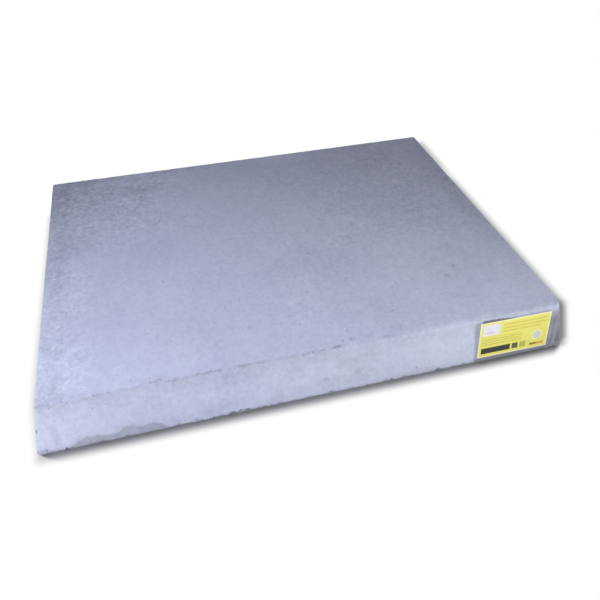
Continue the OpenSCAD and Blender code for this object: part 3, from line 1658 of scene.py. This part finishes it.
@dataclass
class Casting:
    """The concrete slab: one cast piece with worn edges, trowel marks and air holes."""

    shape: SlabShape
    label: LabelPlace
    wave: float = 0.22 * MM
    trowel: float = 0.09 * MM
    arris_wear: float = 0.9 * MM
    front_roll: float = 0.4 * MM
    left_wear: float = 1.2 * MM
    foot_wear: float = 1.5 * MM
    hole_count: float = 110.0
    hole_radius: float = 0.55 * MM
    hole_shake: float = 1.6 * MM
    hole_sizes: Pair = (0.45, 1.5)
    hole_stretches: Pair = (0.8, 1.5)
    hole_depth: float = 0.6
    seed: int = 7
    sharp_angle: float = math.radians(34)
    wave_gain: float = 1.6
    broad_share: float = 0.55
    chip_share: float = 0.75
    corner_broad: float = 0.5
    corner_share: float = 0.8
    crumble_share: float = 0.35
    level_facing: Range = (0.90, 0.99)
    above_floor: Range = (0.5 * MM, 6 * MM)
    broad_wear: Range = (0.44, 0.72)
    chip_wear: Range = (0.60, 0.72)
    arris_band: Range = (8 * MM, 2 * MM)
    corner_band: Range = (9 * MM, 3 * MM)
    front_band: Range = (7.2 * MM, 1.0 * MM)
    foot_crumble: Range = (0.46, 0.74)
    foot_band: Range = (7 * MM, 0.5 * MM)
    left_band: Range = (18 * MM, 2 * MM)
    left_corner: Range = (-0.20, -0.33, 1.0, 2.1)
    label_margin: Range = (2 * MM, 7 * MM)
    hole_patches: Range = (0.42, 0.68, 0.12, 1.0)
    fewer_on_top: Range = (0.7, 0.95, 1.0, 0.42)
    none_under: Range = (-0.5, -0.9, 1.0, 0.0)

    def build(self, material: bpy.types.Material) -> bpy.types.Object:
        """Makes the slab.

        Args:
            material: the concrete.

        Returns:
            The finished piece.
        """
        piece = add_object("pad_casting", ShellBuilder(self.shape).build())
        self.relief_tree(material).run(piece)
        marks = self.mark_points()
        self.holes_tree(material, marks).run(piece)
        bpy.data.objects.remove(marks)
        drop_strays(piece)
        piece.data.shade_smooth()
        piece.data.set_sharp_from_angle(angle=self.sharp_angle)
        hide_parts("pad")
        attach(piece, BODY)
        return piece

    def spot(self, graph: Graph) -> Spot:
        """The point that a geometry tree is working on."""
        return Spot(graph, graph.read("GeometryNodeInputPosition"), self.shape)

    def relief_tree(self, material: bpy.types.Material) -> ModifierTree:
        """The tree that gives the smooth skin its waves, trowel marks and worn edges.

        Args:
            material: the concrete.

        Returns:
            The tree.
        """
        inputs = {
            "Wave Height": self.wave,
            "Trowel Height": self.trowel,
            "Arris Wear": self.arris_wear,
            "Front Roll": self.front_roll,
            "Left Wear": self.left_wear,
            "Foot Wear": self.foot_wear,
            "Seed": float(self.seed),
        }
        tree = ModifierTree("casting_relief", inputs)
        graph = tree.graph
        at = self.spot(graph)
        normal = graph.read("GeometryNodeInputNormal")
        shifted = at.place + graph.combine(tree.given("Seed"), 0.0, 0.0)
        top = graph.split(normal)[2].step(*self.level_facing)
        off_floor = at.z.step(*self.above_floor)

        long_waves = graph.noise(shifted, 7.0, detail=1.0, rough=0.5)
        short_waves = graph.noise(shifted, 36.0, seed=1.0, detail=2.0, rough=0.5)
        wave = (long_waves + short_waves - 1.0) * off_floor * tree.given("Wave Height") * self.wave_gain
        streak = at.drawn_noise(110.0, 8.0, 0.0, seed=2.0, detail=2.0, rough=0.5)
        streak = (streak - 0.5) * 2.0 * top * tree.given("Trowel Height")

        broad = graph.noise(shifted, 30.0, seed=3.0).step(*self.broad_wear)
        chip = graph.noise(shifted, 120.0, seed=4.0, detail=2.0).step(*self.chip_wear)
        near = self.stored(graph, "from_arris").step(*self.arris_band)
        corner = self.stored(graph, "from_corner").step(*self.corner_band)
        worn = (broad * self.broad_share + chip * self.chip_share) * near
        knocked = (broad * self.corner_broad + chip) * corner * self.corner_share
        worn = largest(worn, knocked) * off_floor * tree.given("Arris Wear")
        worn += self.stored(graph, "from_front").step(*self.front_band) * tree.given("Front Roll")

        moved = normal * ((wave + streak - worn) * self.label_cover(at))
        moved += graph.combine(self.left_lean(at) * tree.given("Left Wear"), 0.0, 0.0)

        crumble = graph.noise(shifted, 85.0, seed=5.0, rough=0.65).step(*self.foot_crumble)
        ragged = graph.noise(shifted, 260.0, seed=6.0, detail=2.0)
        near_foot = self.stored(graph, "from_foot").step(*self.foot_band)
        eaten = (crumble + ragged * self.crumble_share) * near_foot * tree.given("Foot Wear")
        moved += normal * (1.0, 1.0, 0.0) * -eaten

        x, y, z = graph.split(at.place + moved)
        inputs = {"Geometry": tree.given("Geometry"), "Position": graph.combine(x, y, largest(z, 0.0))}
        tree.close(graph.node("GeometryNodeSetPosition", inputs).outputs[0], material)
        return tree

    def left_lean(self, at: Spot) -> Value:
        """How far the left side leans in, most at the top of the front corner.

        Args:
            at: the point.

        Returns:
            A factor on the left wear.
        """
        near = at.in_left.step(*self.left_band)
        higher = at.z.step(0.1 * self.shape.height, self.shape.height)
        return near * higher * at.y.step(*self.left_corner)

    def label_cover(self, at: Spot) -> Value:
        """0 under the label, where the face stays true, and 1 elsewhere.

        Args:
            at: the point.

        Returns:
            The mask.
        """
        label = self.label
        du = abs(at.x - label.across)
        dv = abs(at.z / math.cos(self.shape.draft) - label.up)
        away = largest(du - label.width / 2, dv - label.height / 2).step(*self.label_margin)
        return largest(away, at.y.step(-self.shape.half_depth / 2, 0.0))

    def stored(self, graph: Graph, name: str, kind: str = "FLOAT") -> Value:
        """A stored attribute of the mesh."""
        return graph.apply("GeometryNodeInputNamedAttribute", name, data_type=kind)

    def mark_points(self) -> bpy.types.Object:
        """The placed holes, as loose points that carry their size and facing.

        Returns:
            The object that holds them.
        """
        voids = [(side, void) for side, placed in VOIDS.items() for void in placed]
        places = [self.void_place(side, void) for side, void in voids]
        sizes = [(v.radius * v.stretch * MM, v.radius * MM, v.radius * v.depth * MM) for _, v in voids]
        mesh = bpy.data.meshes.new("marks")
        mesh.from_pydata([tuple(place) for place, _ in places], [], [])
        for name, rows in (("facing", [normal for _, normal in places]), ("size", sizes)):
            layer = mesh.attributes.new(name, "FLOAT_VECTOR", "POINT")
            layer.data.foreach_set("vector", [part for row in rows for part in row])
        return add_object("marks", mesh)

    def void_place(self, side: Side, void: Void) -> tuple[Vector, Vector]:
        """Where a placed hole is.

        Args:
            side: the face it is on.
            void: the hole.

        Returns:
            Its middle and the direction it faces.
        """
        if side is Side.TOP:
            return Vector((void.across * MM, void.up * MM, self.shape.height)), Vector((0.0, 0.0, 1.0))
        return self.shape.on_front(void.across * MM, void.up * MM), self.shape.front_normal()

    def holes_tree(self, material: bpy.types.Material, marks: bpy.types.Object) -> ModifierTree:
        """The tree that scatters air holes over the skin, adds the placed ones and cuts them all.

        Args:
            material: the concrete.
            marks: the placed holes.

        Returns:
            The tree.
        """
        inputs = {"Hole Density": self.hole_count, "Hole Radius": self.hole_radius, "Seed": self.seed}
        tree = ModifierTree("casting_holes", inputs)
        graph = tree.graph
        skin = tree.given("Geometry")
        inputs = {"Mesh": skin, "Density": self.hole_density(tree), "Seed": tree.given("Seed")}
        scatter = graph.node("GeometryNodeDistributePointsOnFaces", inputs, distribute_method="RANDOM")
        size = self.random_value(graph, self.hole_sizes, self.seed) * tree.given("Hole Radius")
        long = size * self.random_value(graph, self.hole_stretches, self.seed + 1)
        radii = graph.combine(long, size, size * self.hole_depth)
        sized = self.store(graph, scatter.outputs["Points"], "size", radii)
        turned = self.store(graph, sized, "facing", Value(graph, scatter.outputs["Normal"]))

        placed = graph.node("GeometryNodeObjectInfo", {"Object": marks}, transform_space="RELATIVE")
        points = graph.node("GeometryNodeMeshToPoints", {"Mesh": placed.outputs["Geometry"]})
        joined = graph.node("GeometryNodeJoinGeometry", {0: turned})
        graph.feed(joined.inputs[0], points.outputs[0])

        cutter = graph.node("GeometryNodeMeshUVSphere", {"Segments": 10, "Rings": 6, "Radius": 1.0})
        inputs = {"Vector": self.stored(graph, "facing", "FLOAT_VECTOR")}
        turn = graph.node("FunctionNodeAlignRotationToVector", inputs, axis="Z")
        inputs = {
            "Points": joined.outputs[0],
            "Instance": self.store(graph, cutter.outputs["Mesh"], "hole", 1.0),
            "Rotation": turn.outputs[0],
            "Scale": self.stored(graph, "size", "FLOAT_VECTOR"),
        }
        copies = graph.node("GeometryNodeInstanceOnPoints", inputs)
        real = graph.node("GeometryNodeRealizeInstances", {0: copies.outputs[0]})
        nudge = graph.shake(graph.read("GeometryNodeInputPosition"), 330.0) * self.hole_shake
        rough = graph.node("GeometryNodeSetPosition", {"Geometry": real.outputs[0], "Offset": nudge})
        inputs = {"Mesh 1": skin, "Mesh 2": rough.outputs[0]}
        cut = graph.node("GeometryNodeMeshBoolean", inputs, operation="DIFFERENCE", solver="MANIFOLD")
        tree.close(cut.outputs["Mesh"], material)
        return tree

    def hole_density(self, tree: ModifierTree) -> Value:
        """How many air holes there are to a square metre.

        Args:
            tree: the tree that scatters them.

        Returns:
            The density.
        """
        at = self.spot(tree.graph)
        facing_up = tree.graph.split(tree.graph.read("GeometryNodeInputNormal"))[2]
        patches = at.noise(9.0, seed=41.0, detail=2.0, rough=0.5).step(*self.hole_patches)
        level = facing_up.step(*self.fewer_on_top)
        under = facing_up.step(*self.none_under)
        return patches * level * under * self.label_cover(at) * tree.given("Hole Density")

    def random_value(self, graph: Graph, limits: Pair, seed: int) -> Value:
        """A random number for each point.

        Args:
            graph: the tree's graph.
            limits: its least and its greatest value.
            seed: what it is drawn from.

        Returns:
            The number.
        """
        made = graph.node("FunctionNodeRandomValue", {"Seed": seed}, data_type="FLOAT")
        for socket, limit in zip(shown(made.inputs), limits):
            socket.default_value = limit
        return Value(graph, shown(made.outputs)[0])

    def store(self, graph: Graph, shape: Feed, name: str, value: Value | float) -> Socket:
        """Stores a named attribute on the points of a geometry.

        Args:
            graph: the tree's graph.
            shape: the geometry.
            name: the attribute's name.
            value: what is stored, a number or a vector.

        Returns:
            The geometry.
        """
        kind = "FLOAT_VECTOR" if getattr(value, "has_parts", False) else "FLOAT"
        inputs = {"Geometry": shape, "Name": name}
        made = graph.node("GeometryNodeStoreNamedAttribute", inputs, data_type=kind, domain="POINT")
        graph.feed(next(socket for socket in shown(made.inputs) if socket.name == "Value"), value)
        return made.outputs["Geometry"]


@dataclass
class Label:
    """The printed sheet stuck to the front face."""

    shape: SlabShape
    place: LabelPlace
    cells_wide: int = 57
    cells_high: int = 30
    lift: float = 0.5 * MM
    lift_from: Pair = (0.90, 0.80)
    back_follows: float = 0.5
    sharp_angle: float = math.radians(40)

    def build(self, material: bpy.types.Material) -> bpy.types.Object:
        """Makes the sheet.

        Args:
            material: its print.

        Returns:
            The finished piece.
        """
        mesh = bpy.data.meshes.new("label_sheet")
        made = bmesh.new()
        sheet = made.loops.layers.uv.new("sheet")
        front = self.grid(made, True)
        back = self.grid(made, False)
        wide, high = self.cells_wide, self.cells_high
        for column in range(wide):
            for row in range(high):
                corners = ((column, row), (column + 1, row), (column + 1, row + 1), (column, row + 1))
                self.face(made, sheet, [(front, corner) for corner in corners])
                self.face(made, sheet, [(back, corner) for corner in reversed(corners)])
        edge = [(column, 0) for column in range(wide)] + [(wide, row) for row in range(high)]
        edge += [(column, high) for column in range(wide, 0, -1)] + [(0, row) for row in range(high, 0, -1)]
        for first, second in zip(edge, edge[1:] + edge[:1]):
            self.face(made, sheet, [(back, first), (back, second), (front, second), (front, first)])
        made.to_mesh(mesh)
        made.free()
        mesh.materials.append(material)
        mesh.shade_smooth()
        mesh.set_sharp_from_angle(angle=self.sharp_angle)
        piece = add_object("label_sheet", mesh)
        # Its yellow leaves the floor's shadow grey.
        piece.visible_diffuse = False
        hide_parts("label")
        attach(piece, BODY)
        return piece

    def grid(self, made: bmesh.types.BMesh, front: bool) -> list[list[bmesh.types.BMVert]]:
        """Adds the points of one face of the sheet.

        Args:
            made: the mesh being built.
            front: whether it is the printed face.

        Returns:
            The points, by column and row.
        """
        points = []
        for column in range(self.cells_wide + 1):
            across = column / self.cells_wide
            line = []
            for row in range(self.cells_high + 1):
                up = row / self.cells_high
                curl = self.curl(across, up)
                out = self.place.thickness + curl if front else curl * self.back_follows
                spot = self.place.on_slab(self.shape, across * self.place.width, up * self.place.height, out)
                line.append(made.verts.new(spot))
            points.append(line)
        return points

    def curl(self, across: float, up: float) -> float:
        """How far the sheet's upper right corner has come away, by the place from 0 to 1 each way."""
        shares = [max(0.0, (at - start) / (1 - start)) for at, start in zip((across, up), self.lift_from)]
        return self.lift * math.prod(shares)

    def face(
        self,
        made: bmesh.types.BMesh,
        sheet: bmesh.types.BMLayerItem,
        corners: list[tuple[list[list[bmesh.types.BMVert]], tuple[int, int]]],
    ) -> None:
        """Adds one face with its place on the print.

        Args:
            made: the mesh being built.
            sheet: its UV layer.
            corners: the grid and the column and row of each corner.
        """
        added = made.faces.new([grid[column][row] for grid, (column, row) in corners])
        for loop, (_, (column, row)) in zip(added.loops, corners):
            loop[sheet].uv = (column / self.cells_wide, row / self.cells_high)


# ---------------------------------------------------------------------------------------------
# Studio
# ---------------------------------------------------------------------------------------------


class Reach(Enum):
    """What a lamp lights."""

    FLOOR_ONLY = "INCLUDE"
    ALL_BUT_FLOOR = "EXCLUDE"


@dataclass(frozen=True)
class Softbox:
    """An area lamp that lights the slab and not the floor."""

    name: str
    place: Point
    aim: Point
    width: float
    height: float
    power: float


@dataclass
class Studio:
    """The floor, the soft lamps, the pale surroundings and the camera."""

    shape: SlabShape
    ambient: float = 0.15
    floor_size: float = 24.0
    floor_colour: Colour = (0.88, 0.88, 0.88)
    floor_seen: Colour = (0.716, 0.711, 0.688)
    shadow_front: float = 30 * MM
    shadow_left: float = 12 * MM
    shadow_right: float = 24 * MM
    shadow_core: float = 13 * MM
    shadow_lift: float = 0.12
    corner_rounding: float = 1.2
    hidden_right: float = 72.5 * MM
    hidden_left: float = 15 * MM
    hidden_run: float = 112 * MM
    hidden_back: float = 130 * MM
    back_slant: float = 2.4
    end_soft: float = 5 * MM
    open_back: float = 90 * MM
    beside_from: float = 12 * MM
    beside_to: float = 6 * MM
    bare_start: Range = (0.0, 20 * MM)
    bare_end: Range = (140 * MM, 90 * MM)
    slant_band: Range = (90 * MM, -25 * MM)
    sun_place: Point = (0.0, 0.0, 3.0)
    sun_way: Point = (1.10, -1.10, -1.0)
    sun_spread: float = math.radians(12)
    sun_power: float = 3.2
    camera_place: Point = (-0.2147, -1.0514, 0.8714)
    camera_turn: float = math.radians(14.574)
    camera_down: float = math.radians(41.937)
    camera_roll: float = math.radians(-0.413)
    lens: float = 35.384
    sensor_width: float = 36.0
    nearest_seen: float = 0.05
    lamps: tuple[Softbox, ...] = (
        Softbox("key", (-0.93, -0.92, 1.01), (0.0, 0.0, 0.1), 0.5, 0.5, 19.9),
        Softbox("fill", (0.63, -0.90, 0.47), (0.3, -0.2, 0.05), 0.7, 0.7, 5.3),
        Softbox("back_strip", (0.0, 1.30, 0.05), (0.0, 0.0, 0.05), 1.4, 0.1, 7.0),
        Softbox("right_strip", (1.40, 0.0, 0.05), (0.0, 0.0, 0.05), 1.2, 0.1, 6.0),
    )

    def build(self) -> None:
        """Sets everything up."""
        floor = self.floor()
        self.surroundings()
        for lamp in self.lamps:
            self.hang(lamp, floor)
        self.floor_light(floor)
        self.camera()
        bpy.context.scene.view_settings.view_transform = "Standard"

    def floor(self) -> bpy.types.Object:
        """Lays the floor at the height of the slab's underside.

        Returns:
            The floor.
        """
        half = self.floor_size / 2
        corners = [(-half, -half, 0.0), (half, -half, 0.0), (half, half, 0.0), (-half, half, 0.0)]
        mesh = bpy.data.meshes.new("floor")
        mesh.from_pydata(corners, [], [(0, 1, 2, 3)])
        mesh.materials.append(self.floor_material())
        floor = add_object("floor", mesh)
        return floor

    def floor_material(self) -> bpy.types.Material:
        """A pale matt floor that keeps the slab's shadow, shows painted grey shade round the slab, and goes
        to white away from it.

        Returns:
            The material.
        """
        made, graph = new_material("floor")
        seen = self.seen_directly(graph)
        # Painted shade: the floor is seen darker than it is lit, so near the slab it shows grey even where
        # no shadow falls.
        seen_colour = graph.mix(seen, self.floor_colour, self.floor_seen)
        matt = graph.node("ShaderNodeBsdfDiffuse", {"Color": seen_colour}).outputs[0]
        white = graph.node("ShaderNodeEmission").outputs[0]
        clear = (1.0 - self.painted_shadow_reach(graph.read("ShaderNodeTexCoord", "Object"))) * seen
        mixed = graph.node("ShaderNodeMixShader", {0: clear, 1: matt, 2: white})
        graph.node("ShaderNodeOutputMaterial", {"Surface": mixed.outputs[0]})
        return made

    def painted_shadow_reach(self, place: Value) -> Value:
        """How much of the floor's painted shade shows, by its nearness to the slab's outline as seen from
        the camera.

        The floor just past the top edge and the right-hand corner lies some way behind the
        slab, so the shadow reaches farther out there.

        Args:
            place: the point on the floor.

        Returns:
            1 under the slab, falling to 0 where its shadow has died away.
        """
        shape = self.shape
        x, y, _ = place.graph.split(place)
        right = x.step(shape.half_width - self.end_soft, shape.half_width + self.end_soft)
        from_front = y + shape.half_depth
        run = place.graph.math("MULTIPLY", from_front, 1 / self.hidden_run, clamp=True)
        hidden = self.hidden_left + right * (self.hidden_right - self.hidden_left)
        rounding = smallest(from_front, 0.0) * x.step(-1 * MM, 1 * MM) * self.corner_rounding
        out_x = abs(x) - shape.half_width - run * hidden - rounding
        corner = from_front.step(*self.bare_start) * from_front.step(*self.bare_end)
        open_back = y.step(shape.half_depth - self.open_back, shape.half_depth)
        start = (largest(corner, open_back) * right - 1.0) * self.shadow_core
        end = self.shadow_left + right * (self.shadow_right - self.shadow_left)
        across = out_x.step(start, end, 1.0, 0.0)
        ahead = (-from_front).step(2 * MM, self.shadow_front, 1.0, 0.0)
        out_y = y - shape.half_depth - right * self.hidden_back
        behind = out_y.step(-self.shadow_core, self.shadow_core, 1.0, 0.0)
        slanted = (x - shape.half_width) * self.back_slant - y + shape.half_depth
        beside = x.step(shape.half_width - self.beside_from, shape.half_width - self.beside_to)
        behind *= 1.0 - beside * slanted.step(*self.slant_band)
        return across * ahead * behind * (1.0 - right * self.shadow_lift)

    def seen_directly(self, graph: Graph) -> Value:
        """1 for rays that show the surroundings, to the eye or in a reflection."""
        ray = graph.node("ShaderNodeLightPath").outputs
        return largest(Value(graph, ray["Is Camera Ray"]), ray["Is Glossy Ray"], ray["Is Transmission Ray"])

    def surroundings(self) -> None:
        """Makes the world: white to look at, and a soft even light."""
        world = bpy.data.worlds.new("studio")
        world.use_nodes = True
        graph = Graph(world.node_tree)
        strength = self.ambient + self.seen_directly(graph) * (1.0 - self.ambient)
        sky = graph.node("ShaderNodeBackground", {"Color": (1.0, 1.0, 1.0, 1.0), "Strength": strength})
        graph.node("ShaderNodeOutputWorld", {"Surface": sky.outputs[0]})
        bpy.context.scene.world = world

    def hang(self, lamp: Softbox, floor: bpy.types.Object) -> None:
        """Hangs one soft lamp.

        Args:
            lamp: its place, aim, size and power.
            floor: the floor, which it leaves out.
        """
        light = bpy.data.lights.new(lamp.name, "AREA")
        light.shape = "RECTANGLE"
        light.size = lamp.width
        light.size_y = lamp.height
        light.energy = lamp.power
        toward = Vector(lamp.aim) - Vector(lamp.place)
        self.place_light(light, lamp.place, toward, floor, Reach.ALL_BUT_FLOOR)

    def floor_light(self, floor: bpy.types.Object) -> None:
        """Lights the floor alone, so that the slab throws a short soft shadow on it.

        Args:
            floor: the floor.
        """
        light = bpy.data.lights.new("floor_light", "SUN")
        light.angle = self.sun_spread
        light.energy = self.sun_power
        self.place_light(light, self.sun_place, Vector(self.sun_way), floor, Reach.FLOOR_ONLY)

    def place_light(
        self, light: bpy.types.Light, place: Point, toward: Vector, floor: bpy.types.Object, reach: Reach
    ) -> None:
        """Puts a light in the scene.

        Args:
            light: the light.
            place: where it hangs.
            toward: the way it shines.
            floor: the floor.
            reach: what it lights.
        """
        held = add_object(light.name, light)
        held.location = place
        held.rotation_euler = toward.to_track_quat("-Z", "Y").to_euler()
        held.visible_camera = False
        held.visible_glossy = False
        group = bpy.data.collections.new(light.name + "_reach")
        group.objects.link(floor)
        group.collection_objects[0].light_linking.link_state = reach.value
        held.light_linking.receiver_collection = group

    def camera(self) -> None:
        """Sets up the camera."""
        made = add_object("camera", bpy.data.cameras.new("camera"))
        made.data.lens = self.lens
        made.data.sensor_width = self.sensor_width
        made.data.clip_start = self.nearest_seen
        tilt = Matrix.Rotation(math.pi / 2 - self.camera_down, 4, "X")
        turn = Matrix.Rotation(-self.camera_turn, 4, "Z")
        roll = Matrix.Rotation(self.camera_roll, 4, "Z")
        made.matrix_world = Matrix.Translation(self.camera_place) @ turn @ tilt @ roll
        bpy.context.scene.camera = made


# ---------------------------------------------------------------------------------------------
# Putting it together
# ---------------------------------------------------------------------------------------------


def report(piece: bpy.types.Object) -> None:
    """Logs a finished piece."""
    piece.data.calc_loop_triangles()
    LOG.info("%s: %d triangles", piece.name, len(piece.data.loop_triangles))


def main() -> None:
    """Builds the studio and each piece, and logs each piece's triangle count."""
    logging.basicConfig(level=logging.INFO, format="%(name)s: %(message)s")
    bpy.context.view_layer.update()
    low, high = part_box("pad")
    width, depth, height = (end - start for start, end in zip(low, high))
    shape = SlabShape(width / 2, depth / 2, height)
    place = LabelPlace.from_frame(shape)
    Studio(shape).build()
    concrete = ConcreteFinish(shape, PaintedLabelShadow(place)).material()
    report(Casting(shape, place).build(concrete))
    report(Label(shape, place).build(LabelFinish(place).material()))


if __name__ == "__main__":
    main()
